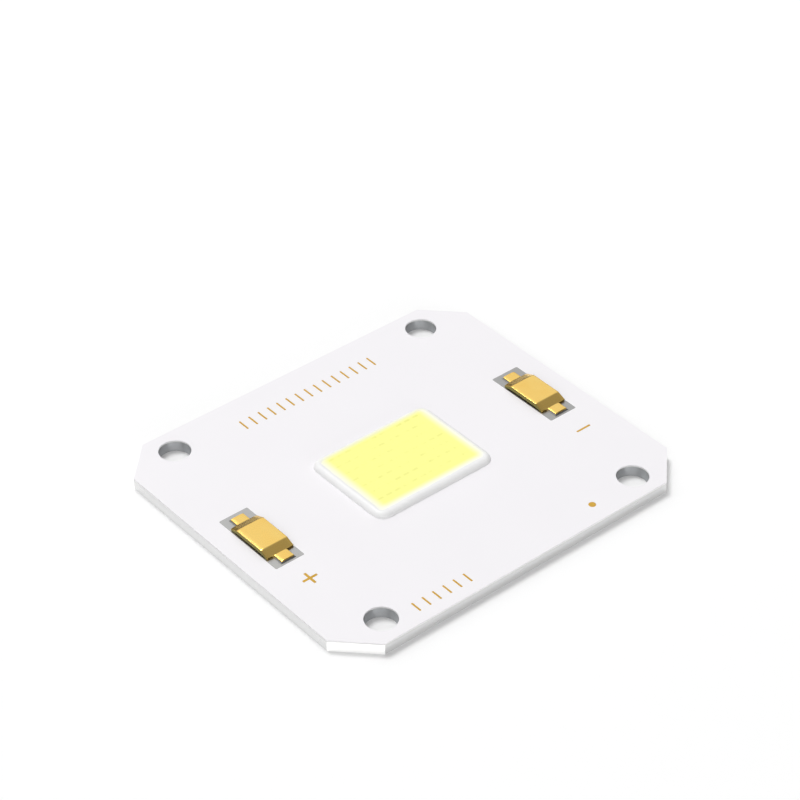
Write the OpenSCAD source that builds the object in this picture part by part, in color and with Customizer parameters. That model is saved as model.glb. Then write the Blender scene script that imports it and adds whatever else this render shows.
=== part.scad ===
// Chip-on-board LED module on an aluminium-core plate.
// The plate lies flat: X runs along its long edges, Y across, Z up.
// The origin is the middle of the plate's underside. All sizes are in millimetres.

/* [Plate] */
// Length of the plate along X
plate_l = 46; // [42:0.5:60]
// Width of the plate along Y
plate_w = 40; // [34:0.5:56]
// Thickness of the aluminium core
core_t = 1.2; // [0.8:0.1:3]
// Length cut off each edge at the four corners
corner_cut = 4; // [1:0.25:5]

/* [Screw holes] */
// Diameter of each screw hole
hole_d = 3.5; // [2.2:0.1:4]
// Distance from a screw hole's centre to the plate's short edge
hole_edge_x = 6; // [4.5:0.25:7]
// Distance from a screw hole's centre to the plate's long edge
hole_edge_y = 3; // [2.5:0.25:5]

/* [Circuit layers] */
// Thickness of the insulating layer bonded to the core
dielectric_t = 0.1; // [0.05:0.01:0.2]
// Thickness of the copper foil
copper_t = 0.04; // [0.02:0.01:0.1]
// Thickness of the white solder mask above the copper
mask_t = 0.06; // [0.03:0.01:0.12]
// How far the solder mask laps over the copper round a solder pad
mask_lap = 0.2; // [0.1:0.05:0.4]
// Width of the copper that leads from the LED area to a pad
feeder_w = 6; // [2:0.5:8]

/* [Solder pads] */
// Distance from a pad to the plate's short edge
pad_edge = 2.6; // [1.5:0.1:4]
// Tin left bare at each side of a terminal
pad_side = 0.1; // [0.05:0.05:0.5]
// Tin left bare beyond each end of a terminal
pad_end = 0.5; // [0.35:0.05:1]
// Radius of a pad's corners
pad_corner_r = 0.15; // [0.05:0.05:0.5]
// How far the tinned surface stands above the solder mask
tin_rise = 0.01; // [0.005:0.005:0.05]
// Height and reach of the solder fillet round each foot
fillet_s = 0.12; // [0.05:0.01:0.14]

/* [Terminals] */
// Thickness of the terminal's folded sheet
strap_t = 0.27; // [0.15:0.01:0.35]
// Width of the terminal's bridge along X
strap_w = 3.4; // [2.4:0.1:4]
// Height of the bridge's top above the underside of the feet
strap_h = 0.71; // [0.55:0.01:1.2]
// Length of the flat top along Y
strap_top_l = 3.86; // [2:0.02:5]
// Length along Y of each slope
strap_slope_l = 1.07; // [0.8:0.01:1.5]
// Inner radius of every bend
strap_bend_r = 0.2; // [0.1:0.05:0.4]
// Length of each foot beyond its bend
foot_l = 1.25; // [0.8:0.05:2]
// Width of each foot along X
foot_w = 1.65; // [1:0.05:2.4]
// Radius of a foot's free corners
foot_corner_r = 0.12; // [0.05:0.01:0.3]
// Offset along Y from the pad's middle to the terminal's middle
strap_shift = -0.13; // [-0.2:0.01:0.2]

/* [LED dies] */
// Number of dies in series in each row
die_cols = 10; // [4:1:12]
// Edge length of a square die
die_s = 0.75; // [0.6:0.05:0.9]
// Thickness of a die
die_t = 0.15; // [0.1:0.01:0.2]
// Distance from die to die along a row
die_pitch_x = 1.15; // [1.05:0.05:1.4]
// Distance from row to row
die_pitch_y = 1.35; // [1.1:0.05:1.6]
// Distance from a die's middle to each of its bond pads
bond_pad_x = 0.25; // [0.2:0.01:0.28]

/* [Bond wires] */
// Diameter of the gold wire
wire_d = 0.05; // [0.03:0.005:0.06]
// Rise of a wire's loop above its two ends
loop_h = 0.16; // [0.1:0.01:0.22]
// Diameter of the ball at each end of a wire
ball_d = 0.1; // [0.09:0.005:0.13]
// Height of the ball at each end of a wire
ball_h = 0.035; // [0.03:0.005:0.05]

/* [LED window] */
// Gap along X between an end die and the edge of the insulating layer
window_gap_x = 0.15; // [0.1:0.05:0.4]
// Gap along Y between an outer row and the edge of the insulating layer
window_gap_y = 0.45; // [0.2:0.05:0.8]
// Step from the insulating layer's edge to the copper bus bar
bus_step = 0.1; // [0.05:0.05:0.2]
// Width of the bus bar that the solder mask leaves bare
bus_bare = 0.6; // [0.4:0.05:1]
// Width of the bus bar that the solder mask covers
bus_covered = 1.4; // [0.5:0.1:3]
// Length of the bus bar beyond the middle of the outer rows
bus_end = 0.725; // [0.2:0.025:0.75]
// Step along Y from the insulating layer's edge to the solder mask's edge
mask_step_y = 0.28; // [0.1:0.02:0.6]

/* [Dam and gel] */
// Rim of solder mask between its window and the dam
dam_rim = 0.2; // [0.1:0.05:0.5]
// Width of the silicone bead at its foot
dam_w = 1.25; // [1.2:0.05:1.6]
// Height of the silicone bead's crest
dam_h = 0.58; // [0.45:0.01:0.6]
// Radius of the bead's inner corners
dam_inner_r = 0.1; // [0.05:0.05:0.6]
// How far the gel's surface lies below the bead's crest
gel_drop = 0.13; // [0.05:0.01:0.2]

/* [Hidden] */
rows = 6;
$fn = 48;
// Number of flats along each bend of the terminals
bend_steps = 6;
// Overshoot of a cutting body, so that no cut ends on a face
over = 1;

// Heights of the layers above the plate's underside
dielectric_z = core_t;
copper_z = dielectric_z + dielectric_t;
copper_top = copper_z + copper_t;
mask_top = copper_top + mask_t;
tin_top = mask_top + tin_rise;
gel_top = mask_top + dam_h - gel_drop;
die_top = core_t + die_t;

// Solder pads and terminals
strap_span = strap_top_l + 2 * strap_slope_l;
strap_l = strap_span + 2 * foot_l;
pad_w = strap_w + 2 * pad_side;
pad_l = strap_l + 2 * pad_end;
pad_x = plate_l / 2 - pad_edge - pad_w / 2;

// Die field and the windows round it, as half lengths from the plate's middle
end_die_x = (die_cols - 1) * die_pitch_x / 2;
outer_row_y = (rows - 1) * die_pitch_y / 2;
window_x = end_die_x + die_s / 2 + window_gap_x;
window_y = outer_row_y + die_s / 2 + window_gap_y;
bus_x = window_x + bus_step;
bus_y = outer_row_y + bus_end;
mask_window_x = bus_x + bus_bare;
mask_window_y = window_y + mask_step_y;
dam_inner_x = mask_window_x + dam_rim;
dam_inner_y = mask_window_y + dam_rim;

// Middle line of the silicone bead
dam_mid_x = dam_inner_x + dam_w / 2;
dam_mid_y = dam_inner_y + dam_w / 2;
dam_mid_r = dam_inner_r + dam_w / 2;

// ---- shared outlines ----

// Rectangle with round corners, centred, given by its full lengths
module round_rect(l, w, r) {
    square([l - 2 * r, w], center = true);
    square([l, w - 2 * r], center = true);
    for (sx = [-1, 1], sy = [-1, 1]) {
        translate([sx * (l / 2 - r), sy * (w / 2 - r)]) circle(r);
    }
}

// Rectangle with its four corners cut at 45 degrees
module cut_rect(l, w, c) {
    polygon([
        [-l / 2 + c, -w / 2], [l / 2 - c, -w / 2], [l / 2, -w / 2 + c], [l / 2, w / 2 - c],
        [l / 2 - c, w / 2], [-l / 2 + c, w / 2], [-l / 2, w / 2 - c], [-l / 2, -w / 2 + c]
    ]);
}

// Outline of the board with its four screw holes
module board_outline() {
    difference() {
        cut_rect(plate_l, plate_w, corner_cut);
        for (sx = [-1, 1], sy = [-1, 1]) {
            translate([sx * (plate_l / 2 - hole_edge_x), sy * (plate_w / 2 - hole_edge_y)]) circle(d = hole_d);
        }
    }
}

// One conductor, on the +X side: bus bar, taper, feeder and the land under a pad
module copper_outline() {
    bus_end_x = mask_window_x + bus_covered;
    taper = bus_y - feeder_w / 2;
    polygon([
        [bus_x, -bus_y], [bus_end_x, -bus_y], [bus_end_x + taper, -feeder_w / 2], [pad_x, -feeder_w / 2],
        [pad_x, feeder_w / 2], [bus_end_x + taper, feeder_w / 2], [bus_end_x, bus_y], [bus_x, bus_y]
    ]);
    translate([pad_x, 0]) round_rect(pad_w + 2 * mask_lap, pad_l + 2 * mask_lap, pad_corner_r + mask_lap);
}

// Outline of a pad's window in the solder mask, which the tin fills
module pad_outline(side) {
    translate([side * pad_x, 0]) round_rect(pad_w, pad_l, pad_corner_r);
}

// ---- plate and circuit layers ----

module base_plate() {
    color([0.80, 0.80, 0.82]) linear_extrude(core_t) board_outline();
}

module dielectric_layer() {
    color([0.86, 0.87, 0.84]) translate([0, 0, dielectric_z]) linear_extrude(dielectric_t) {
        difference() {
            board_outline();
            square([2 * window_x, 2 * window_y], center = true);
        }
    }
}

// Copper conductor on the side of X given by the sign
module copper_foil(side) {
    color([0.80, 0.47, 0.28]) mirror([side > 0 ? 0 : 1, 0, 0]) translate([0, 0, copper_z]) {
        linear_extrude(copper_t) copper_outline();
    }
}

module solder_mask() {
    color([0.96, 0.95, 0.96]) difference() {
        translate([0, 0, copper_z]) linear_extrude(copper_t + mask_t) {
            difference() {
                board_outline();
                square([2 * mask_window_x, 2 * mask_window_y], center = true);
                pad_outline(-1);
                pad_outline(1);
            }
        }
        copper_foil(-1);
        copper_foil(1);
    }
}

// ---- solder pads and terminals ----

// Solder that rises round one foot: steep on three sides, open towards the bridge
module foot_fillet(end) {
    half_w = foot_w / 2;
    foot_end = strap_l / 2;
    bend = strap_span / 2;
    mirror([0, end > 0 ? 0 : 1, 0]) intersection() {
        rotate([90, 0, 90]) translate([0, 0, -foot_w]) linear_extrude(2 * foot_w) {
            polygon([[bend, -tin_rise], [foot_end + fillet_s, -tin_rise], [foot_end + fillet_s, 0],
                     [foot_end, fillet_s], [bend, fillet_s]]);
        }
        rotate([90, 0, 0]) translate([0, 0, -strap_l]) linear_extrude(strap_l) {
            polygon([[-half_w - fillet_s, -tin_rise], [half_w + fillet_s, -tin_rise],
                     [half_w + fillet_s, 0], [half_w, fillet_s], [-half_w, fillet_s], [-half_w - fillet_s, 0]]);
        }
    }
}

// Tinned surface of a pad, with the fillets that hold the terminal
module solder_pad(side) {
    color([0.75, 0.75, 0.77]) difference() {
        union() {
            translate([0, 0, copper_top]) linear_extrude(tin_top - copper_top) pad_outline(side);
            translate([side * pad_x, strap_shift, tin_top]) {
                foot_fillet(-1);
                foot_fillet(1);
            }
        }
        terminal_strap(side);
    }
}

// Points of an arc round centre c, from angle a0 to a1
function arc_points(c, r, a0, a1) = [
    for (k = [0:bend_steps]) c + r * [cos(a0 + (a1 - a0) * k / bend_steps), sin(a0 + (a1 - a0) * k / bend_steps)]
];
// The same points on the other side of the middle, in reverse order
function mirrored(points) = [for (k = [len(points) - 1:-1:0]) [-points[k][0], points[k][1]]];

// Side view of the folded strap: foot, slope, flat top, slope and foot, all of one thickness
module strap_profile() {
    rise = strap_h - strap_t;
    slope = atan2(rise, strap_slope_l);
    outer_r = strap_bend_r + strap_t;
    tangent = (strap_bend_r + strap_t / 2) * tan(slope / 2);
    top_c = [strap_top_l / 2 - tangent, rise - strap_bend_r];
    low_c = [strap_span / 2 + tangent, outer_r];
    upper_side = concat(
        arc_points(top_c, outer_r, 90, 90 - slope),
        arc_points(low_c, strap_bend_r, 270 - slope, 270),
        [[strap_l / 2, strap_t]]
    );
    lower_side = concat(
        [[strap_l / 2, 0]],
        arc_points(low_c, outer_r, 270, 270 - slope),
        arc_points(top_c, strap_bend_r, 90 - slope, 90)
    );
    polygon(concat(mirrored(upper_side), upper_side, lower_side, mirrored(lower_side)));
}

// Plan of the strap: wide bridge, with a narrower foot at each end
module strap_plan() {
    square([strap_w, strap_span], center = true);
    round_rect(foot_w, strap_l, foot_corner_r);
}

// Terminal bridge, folded from one strip and standing on the tinned pad
module terminal_strap(side) {
    translate([side * pad_x, strap_shift, tin_top]) intersection() {
        rotate([90, 0, 90]) translate([0, 0, -strap_w]) linear_extrude(2 * strap_w) strap_profile();
        linear_extrude(strap_h + over) strap_plan();
    }
}

module terminal(side) {
    color([0.93, 0.79, 0.43]) terminal_strap(side);
}

// ---- LED dies and bond wires ----

function row_y(row) = (row - (rows + 1) / 2) * die_pitch_y;
function die_x(col) = (col - (die_cols - 1) / 2) * die_pitch_x;

// One row of separate dies on the bare core
module led_row(row) {
    color([0.55, 0.68, 0.90]) for (col = [0:die_cols - 1]) {
        translate([die_x(col) - die_s / 2, row_y(row) - die_s / 2, core_t]) cube([die_s, die_s, die_t]);
    }
}

// One looped wire between two landing points [x, z], with a ball at each end
module bond_wire(a, b) {
    lift = [0, ball_h / 2];
    chord = norm(b - a);
    tilt = atan2(b[1] - a[1], b[0] - a[0]);
    half_angle = 2 * atan(2 * loop_h / chord);
    arc_r = (chord * chord / 4 + loop_h * loop_h) / (2 * loop_h);
    centre = (a + b) / 2 + lift - (arc_r - loop_h) * [-sin(tilt), cos(tilt)];
    translate([centre[0], 0, centre[1]]) rotate([90, 0, 0]) rotate([0, 0, 90 - half_angle + tilt]) {
        rotate_extrude(angle = 2 * half_angle) translate([arc_r, 0]) circle(d = wire_d);
    }
    for (point = [a, b]) {
        translate([point[0], 0, point[1]]) cylinder(d = ball_d, h = ball_h);
    }
}

// The wires of one row: bus bar to die, die to die, and die to bus bar
module bond_wires(row) {
    landing = bus_x + bus_bare / 2;
    starts = concat([[-landing, copper_top]], [for (col = [0:die_cols - 1]) [die_x(col) + bond_pad_x, die_top]]);
    ends = concat([for (col = [0:die_cols - 1]) [die_x(col) - bond_pad_x, die_top]], [[landing, copper_top]]);
    color([0.93, 0.79, 0.43]) translate([0, row_y(row), 0]) for (k = [0:die_cols]) {
        bond_wire(starts[k], ends[k]);
    }
}

// ---- dam and gel ----

// Section of the bead: a segment of a circle standing on its chord
module bead_section() {
    bead_r = (dam_w * dam_w / 4 + dam_h * dam_h) / (2 * dam_h);
    intersection() {
        translate([0, dam_h - bead_r]) circle(bead_r);
        translate([-bead_r, 0]) square([2 * bead_r, dam_h]);
    }
}

// Straight run of bead, centred, along the direction of the given angle
module bead_run(length, angle) {
    rotate([90, 0, 90 + angle]) translate([0, 0, -length / 2]) linear_extrude(length) bead_section();
}

// The bead laid as a closed rectangle with round corners
module dam_bead() {
    straight_x = 2 * (dam_mid_x - dam_mid_r);
    straight_y = 2 * (dam_mid_y - dam_mid_r);
    translate([0, 0, mask_top]) {
        for (s = [-1, 1]) {
            translate([0, s * dam_mid_y, 0]) bead_run(straight_x, 0);
            translate([s * dam_mid_x, 0, 0]) bead_run(straight_y, 90);
        }
        for (turn = [0:3]) {
            side_x = turn == 0 || turn == 3 ? 1 : -1;
            side_y = turn < 2 ? 1 : -1;
            translate([side_x * straight_x / 2, side_y * straight_y / 2, 0]) rotate([0, 0, 90 * turn]) {
                rotate_extrude(angle = 90) translate([dam_mid_r, 0]) bead_section();
            }
        }
    }
}

module silicone_dam() {
    color([0.97, 0.97, 0.97]) dam_bead();
}

// Gel that fills the window and the space inside the bead, round every die and wire
module phosphor_gel() {
    color([0.99, 0.98, 0.55]) difference() {
        union() {
            translate([0, 0, core_t]) linear_extrude(dielectric_t) {
                square([2 * window_x, 2 * window_y], center = true);
            }
            translate([0, 0, copper_z]) linear_extrude(mask_top - copper_z) {
                square([2 * mask_window_x, 2 * mask_window_y], center = true);
            }
            translate([0, 0, mask_top]) linear_extrude(gel_top - mask_top) {
                round_rect(2 * dam_mid_x, 2 * dam_mid_y, dam_mid_r);
            }
        }
        dam_bead();
        copper_foil(-1);
        copper_foil(1);
        for (row = [1:rows]) {
            led_row(row);
            bond_wires(row);
        }
    }
}

base_plate();
dielectric_layer();
copper_foil(-1);  // copper_positive
copper_foil(1);  // copper_negative
solder_mask();
solder_pad(-1);  // solder_pad_positive
solder_pad(1);  // solder_pad_negative
terminal(-1);  // terminal_positive
terminal(1);  // terminal_negative
silicone_dam();
phosphor_gel();
for (row = [1:rows]) {
    led_row(row);
    bond_wires(row);
}
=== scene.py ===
"""Looks of a chip-on-board LED module.

A white aluminium-core plate carries a phosphor field and two folded terminals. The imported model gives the
levels, and the places of all but the printed marks. The plate lies on z = 0, X runs along its long edges
and Y across. Lengths are in millimetres, and MM turns them into metres.
"""

import logging
import math
from dataclasses import dataclass
from enum import Enum

import bmesh
import bpy
import numpy as np
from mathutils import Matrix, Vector


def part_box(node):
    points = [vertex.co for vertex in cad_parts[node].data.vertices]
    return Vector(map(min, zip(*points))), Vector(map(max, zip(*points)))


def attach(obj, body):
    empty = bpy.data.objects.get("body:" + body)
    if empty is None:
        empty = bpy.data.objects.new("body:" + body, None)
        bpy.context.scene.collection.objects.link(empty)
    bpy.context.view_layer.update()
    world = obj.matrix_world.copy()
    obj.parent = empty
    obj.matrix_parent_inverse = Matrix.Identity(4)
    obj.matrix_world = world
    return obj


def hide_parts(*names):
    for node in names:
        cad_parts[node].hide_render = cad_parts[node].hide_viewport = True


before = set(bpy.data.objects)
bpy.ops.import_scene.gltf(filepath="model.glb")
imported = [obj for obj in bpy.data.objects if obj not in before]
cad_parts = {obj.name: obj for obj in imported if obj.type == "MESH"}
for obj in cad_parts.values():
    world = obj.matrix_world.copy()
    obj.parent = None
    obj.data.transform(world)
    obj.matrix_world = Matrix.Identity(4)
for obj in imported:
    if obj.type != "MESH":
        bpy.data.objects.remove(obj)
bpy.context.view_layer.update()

MM = 0.001
BODY = "root"
SILICONE_IOR = 1.41
SAPPHIRE_IOR = 1.77
WAVE_RADIANS = 20.0  # a wave texture turns by this many radians a unit of its scale
QUARTER_TURN = 0.25  # of a full turn
WELD_REACH = 1e-8  # in metres
log = logging.getLogger("cob_module")


# ---- colour and node helpers ----

def linear(hex_colour: str) -> tuple[float, float, float, float]:
    """Turns an sRGB hex value into linear red, green, blue and alpha.

    Args:
        hex_colour: six hex digits with a leading #.

    Returns:
        The linear colour with alpha 1.
    """
    parts = np.array([int(hex_colour[k:k + 2], 16) for k in (1, 3, 5)]) / 255.0
    low = parts / 12.92
    high = ((parts + 0.055) / 1.055) ** 2.4
    return (*np.where(parts <= 0.04045, low, high).tolist(), 1.0)


def add_node(
    tree: bpy.types.NodeTree,
    kind: str,
    sockets: dict[str | int, object] | None = None,
    **settings: object,
) -> bpy.types.Node:
    """Adds one shader node with its settings, constants and links.

    Args:
        tree: node tree that gets the node.
        kind: the node's type name.
        sockets: input name or index, with a constant or the output socket that feeds it.
        settings: properties of the node itself.

    Returns:
        The new node.
    """
    node = tree.nodes.new(kind)
    for name, value in settings.items():
        setattr(node, name, value)
    for key, value in (sockets or {}).items():
        if isinstance(value, bpy.types.NodeSocket):
            tree.links.new(value, node.inputs[key])
        else:
            node.inputs[key].default_value = value
    return node


def span(node: str) -> tuple[np.ndarray, np.ndarray]:
    """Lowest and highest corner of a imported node, in millimetres."""
    low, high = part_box(node)
    return np.array(low) / MM, np.array(high) / MM


def per_metre(size_mm: float) -> float:
    """Texture scale, in cycles a metre, that gives a pattern of that size in millimetres."""
    return 1.0 / (size_mm * MM)


# ---- finishes ----

@dataclass(frozen=True)
class Finish:
    """A surface finish: colour, gloss and the pattern that its making leaves."""

    name: str
    colour: str
    roughness: float
    metallic: float = 0.0

    def build(self) -> bpy.types.Material:
        """Makes the material: one Principled shader with this finish's own pattern.

        Returns:
            The material, ready for a slot.
        """
        material = bpy.data.materials.new(self.name)
        material.use_nodes = True
        tree = material.node_tree
        tree.nodes.clear()
        shader = add_node(tree, "ShaderNodeBsdfPrincipled", {
            "Base Color": linear(self.colour), "Roughness": self.roughness, "Metallic": self.metallic})
        add_node(tree, "ShaderNodeOutputMaterial", {"Surface": shader.outputs[0]})
        place = add_node(tree, "ShaderNodeTexCoord").outputs["Object"]
        self.pattern(tree, shader, place)
        return material

    def pattern(self, tree: bpy.types.NodeTree, shader: bpy.types.Node, place: bpy.types.NodeSocket) -> None:
        """Adds the pattern of the surface.

        Args:
            tree: the material's node tree.
            shader: its Principled shader.
            place: object coordinates, in metres.
        """
        raise NotImplementedError


@dataclass(frozen=True)
class PlateAluminium(Finish):
    """Rolled aluminium sheet, routed to size, with chamfered corners and drilled bores.

    The underside shows long rolling streaks, the routed edge a grey satin with faint tool lines, the
    corners a near-white painted highlight in place of the light that falls on them, and the bores a
    darker grey wall, painted shade, whose satin streaks its reflections up and down.
    """

    rolled_colour: str = "#D4D5D8"
    edge_colour: str = "#CBCBCB"
    # painted highlight: near-white tone of the chamfered corners
    painted_corner_highlight_colour: str = "#FBFBFA"
    # painted shade: the bores' wall is a darker grey than the plate's metal
    bore_shade_colour: str = "#B4B6B8"
    edge_roughness: float = 0.32
    bore_roughness: float = 0.45
    bore_streak: float = 0.95
    satin_spread: float = 0.05
    streak_width: float = 0.25
    rolling_squeeze: float = 0.03
    routing_squeeze: float = 0.06
    streak_depth: float = 0.01
    streak_strength: float = 0.35
    bore_centre: float = 17.0
    bore_reach: float = 1.95
    corner_skew: float = 0.4

    def bore(self, tree: bpy.types.NodeTree, place: bpy.types.NodeSocket) -> bpy.types.NodeSocket:
        """Finds the bores: 1 within their reach of the nearest bore's axis, and 0 elsewhere.

        Args:
            tree: the material's node tree.
            place: object coordinates, in metres.

        Returns:
            The mask of the bores.
        """
        axis = (self.bore_centre * MM, self.bore_centre * MM, 0.0)
        quarter = add_node(tree, "ShaderNodeVectorMath", {0: place}, operation="ABSOLUTE").outputs[0]
        away = add_node(tree, "ShaderNodeVectorMath", {0: quarter, 1: axis}, operation="SUBTRACT").outputs[0]
        flat = add_node(tree, "ShaderNodeVectorMath", {0: away, 1: (1.0, 1.0, 0.0)},
                        operation="MULTIPLY").outputs[0]
        reach = add_node(tree, "ShaderNodeVectorMath", {0: flat}, operation="LENGTH").outputs["Value"]
        return add_node(tree, "ShaderNodeMath", {0: reach, 1: self.bore_reach * MM},
                        operation="LESS_THAN").outputs[0]

    def grain(
        self, tree: bpy.types.NodeTree, place: bpy.types.NodeSocket, level: bpy.types.NodeSocket,
    ) -> bpy.types.NodeSocket:
        """Draws rolling streaks along X on level faces, and upright tool lines on the sides.

        Args:
            tree: the material's node tree.
            place: object coordinates, in metres.
            level: how level the face is, from 0 on a side to 1 on the underside.

        Returns:
            The streaks, from 0 to 1.
        """
        rolling = add_node(tree, "ShaderNodeMapping", {
            "Vector": place, "Scale": (self.rolling_squeeze, 1.0, 1.0)}).outputs[0]
        rolled = add_node(tree, "ShaderNodeTexNoise", {
            "Vector": rolling, "Scale": per_metre(self.streak_width), "Detail": 4.0,
            "Roughness": 0.6}).outputs[0]
        routing = add_node(tree, "ShaderNodeMapping", {
            "Vector": place, "Scale": (self.routing_squeeze, self.routing_squeeze, 1.0)}).outputs[0]
        routed = add_node(tree, "ShaderNodeTexNoise", {
            "Vector": routing, "Scale": per_metre(self.streak_width), "Detail": 3.0}).outputs[0]
        return add_node(tree, "ShaderNodeMix", {
            "Factor": level, 2: routed, 3: rolled}, data_type="FLOAT").outputs[0]

    def pattern(self, tree: bpy.types.NodeTree, shader: bpy.types.Node, place: bpy.types.NodeSocket) -> None:
        """Picks out underside, edge, corners and bores, each with its own tone and satin. The corners'
        near-white tone is a painted highlight, and the bores' darker grey is painted shade.

        A corner is a face whose normal has X and Y parts of like size, so their product is near a half.

        Args:
            tree: the material's node tree.
            shader: its Principled shader.
            place: object coordinates, in metres.
        """
        normal = add_node(tree, "ShaderNodeNewGeometry").outputs["Normal"]
        facing = add_node(tree, "ShaderNodeVectorMath", {0: normal}, operation="ABSOLUTE").outputs[0]
        parts = add_node(tree, "ShaderNodeSeparateXYZ", {0: facing}).outputs
        # mask of the chamfered corners that get the painted highlight
        skew = add_node(tree, "ShaderNodeMath", {0: parts[0], 1: parts[1]}, operation="MULTIPLY").outputs[0]
        corner_highlight_mask = add_node(tree, "ShaderNodeMath", {0: skew, 1: self.corner_skew},
                           operation="GREATER_THAN").outputs[0]
        bore = self.bore(tree, place)
        grain = self.grain(tree, place, parts[2])

        level = add_node(tree, "ShaderNodeMix", {
            "Factor": parts[2], 2: self.edge_roughness, 3: self.roughness}, data_type="FLOAT").outputs[0]
        satin = add_node(tree, "ShaderNodeMapRange", {
            "Value": grain, "From Min": 0.3, "From Max": 0.7,
            "To Min": -self.satin_spread, "To Max": self.satin_spread}).outputs[0]
        dull = add_node(tree, "ShaderNodeMath", {0: level, 1: satin}, operation="ADD").outputs[0]
        gloss = add_node(tree, "ShaderNodeMix", {
            "Factor": bore, 2: dull, 3: self.bore_roughness}, data_type="FLOAT").outputs[0]
        tree.links.new(gloss, shader.inputs["Roughness"])

        # painted highlight: chamfered corners are near white, as if lit from the front; straight edges keep
        # the routed grey
        edge = add_node(tree, "ShaderNodeMix", {
            "Factor": corner_highlight_mask, 6: linear(self.edge_colour), 7: linear(self.painted_corner_highlight_colour)},
            data_type="RGBA").outputs[2]
        face = add_node(tree, "ShaderNodeMix", {
            "Factor": grain, 6: linear(self.rolled_colour), 7: linear(self.colour)},
            data_type="RGBA").outputs[2]
        outside = add_node(tree, "ShaderNodeMix", {
            "Factor": parts[2], 6: edge, 7: face}, data_type="RGBA").outputs[2]
        # painted shade: darker grey on the bore walls
        tint = add_node(tree, "ShaderNodeMix", {
            "Factor": bore, 6: outside, 7: linear(self.bore_shade_colour)}, data_type="RGBA").outputs[2]
        tree.links.new(tint, shader.inputs["Base Color"])

        strength = add_node(tree, "ShaderNodeMath", {0: self.streak_strength, 1: bore},
                            operation="SUBTRACT", use_clamp=True).outputs[0]
        relief = add_node(tree, "ShaderNodeBump", {
            "Strength": strength, "Distance": self.streak_depth * MM, "Height": grain}).outputs[0]
        tree.links.new(relief, shader.inputs["Normal"])

        level_line = add_node(tree, "ShaderNodeVectorMath", {0: normal, 1: (0.0, 0.0, 1.0)},
                              operation="CROSS_PRODUCT").outputs[0]
        tree.links.new(level_line, shader.inputs["Tangent"])
        streak = add_node(tree, "ShaderNodeMath", {0: bore, 1: self.bore_streak},
                          operation="MULTIPLY").outputs[0]
        tree.links.new(streak, shader.inputs["Anisotropic"])
        shader.inputs["Anisotropic Rotation"].default_value = QUARTER_TURN


@dataclass(frozen=True)
class SolderMaskWhite(Finish):
    """White liquid solder mask, screened and cured: an even, slightly glossy paint with an orange peel."""

    cloud_colour: str = "#F2F0F3"
    cloud_size: float = 9.0
    peel_size: float = 0.9
    peel_depth: float = 0.01
    smoother_by: float = 0.04
    duller_by: float = 0.06

    def pattern(self, tree: bpy.types.NodeTree, shader: bpy.types.Node, place: bpy.types.NodeSocket) -> None:
        """Faint clouding over the plate, and an orange peel that only stirs the reflections.

        Args:
            tree: the material's node tree.
            shader: its Principled shader.
            place: object coordinates, in metres.
        """
        cloud = add_node(tree, "ShaderNodeTexNoise", {
            "Vector": place, "Scale": per_metre(self.cloud_size), "Detail": 2.0}).outputs[0]
        paint = add_node(tree, "ShaderNodeMix", {
            "Factor": cloud, 6: linear(self.colour), 7: linear(self.cloud_colour)},
            data_type="RGBA").outputs[2]
        tree.links.new(paint, shader.inputs["Base Color"])
        peel = add_node(tree, "ShaderNodeTexNoise", {
            "Vector": place, "Scale": per_metre(self.peel_size), "Detail": 1.0}).outputs[0]
        relief = add_node(tree, "ShaderNodeBump", {
            "Strength": 0.25, "Distance": self.peel_depth * MM, "Height": peel}).outputs[0]
        tree.links.new(relief, shader.inputs["Normal"])
        gloss = add_node(tree, "ShaderNodeMapRange", {
            "Value": cloud, "To Min": self.roughness - self.smoother_by,
            "To Max": self.roughness + self.duller_by}).outputs[0]
        tree.links.new(gloss, shader.inputs["Roughness"])


@dataclass(frozen=True)
class FilledEpoxy(Finish):
    """Ceramic-filled epoxy, pressed and routed: a pale, dull line between the core and the mask."""

    filler_colour: str = "#E0E0DE"
    grain_size: float = 0.08

    def pattern(self, tree: bpy.types.NodeTree, shader: bpy.types.Node, place: bpy.types.NodeSocket) -> None:
        """Fine filler grain in two pale tones.

        Args:
            tree: the material's node tree.
            shader: its Principled shader.
            place: object coordinates, in metres.
        """
        grain = add_node(tree, "ShaderNodeTexNoise", {
            "Vector": place, "Scale": per_metre(self.grain_size), "Detail": 2.0}).outputs[0]
        tone = add_node(tree, "ShaderNodeMix", {
            "Factor": grain, 6: linear(self.filler_colour), 7: linear(self.colour)},
            data_type="RGBA").outputs[2]
        tree.links.new(tone, shader.inputs["Base Color"])


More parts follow.
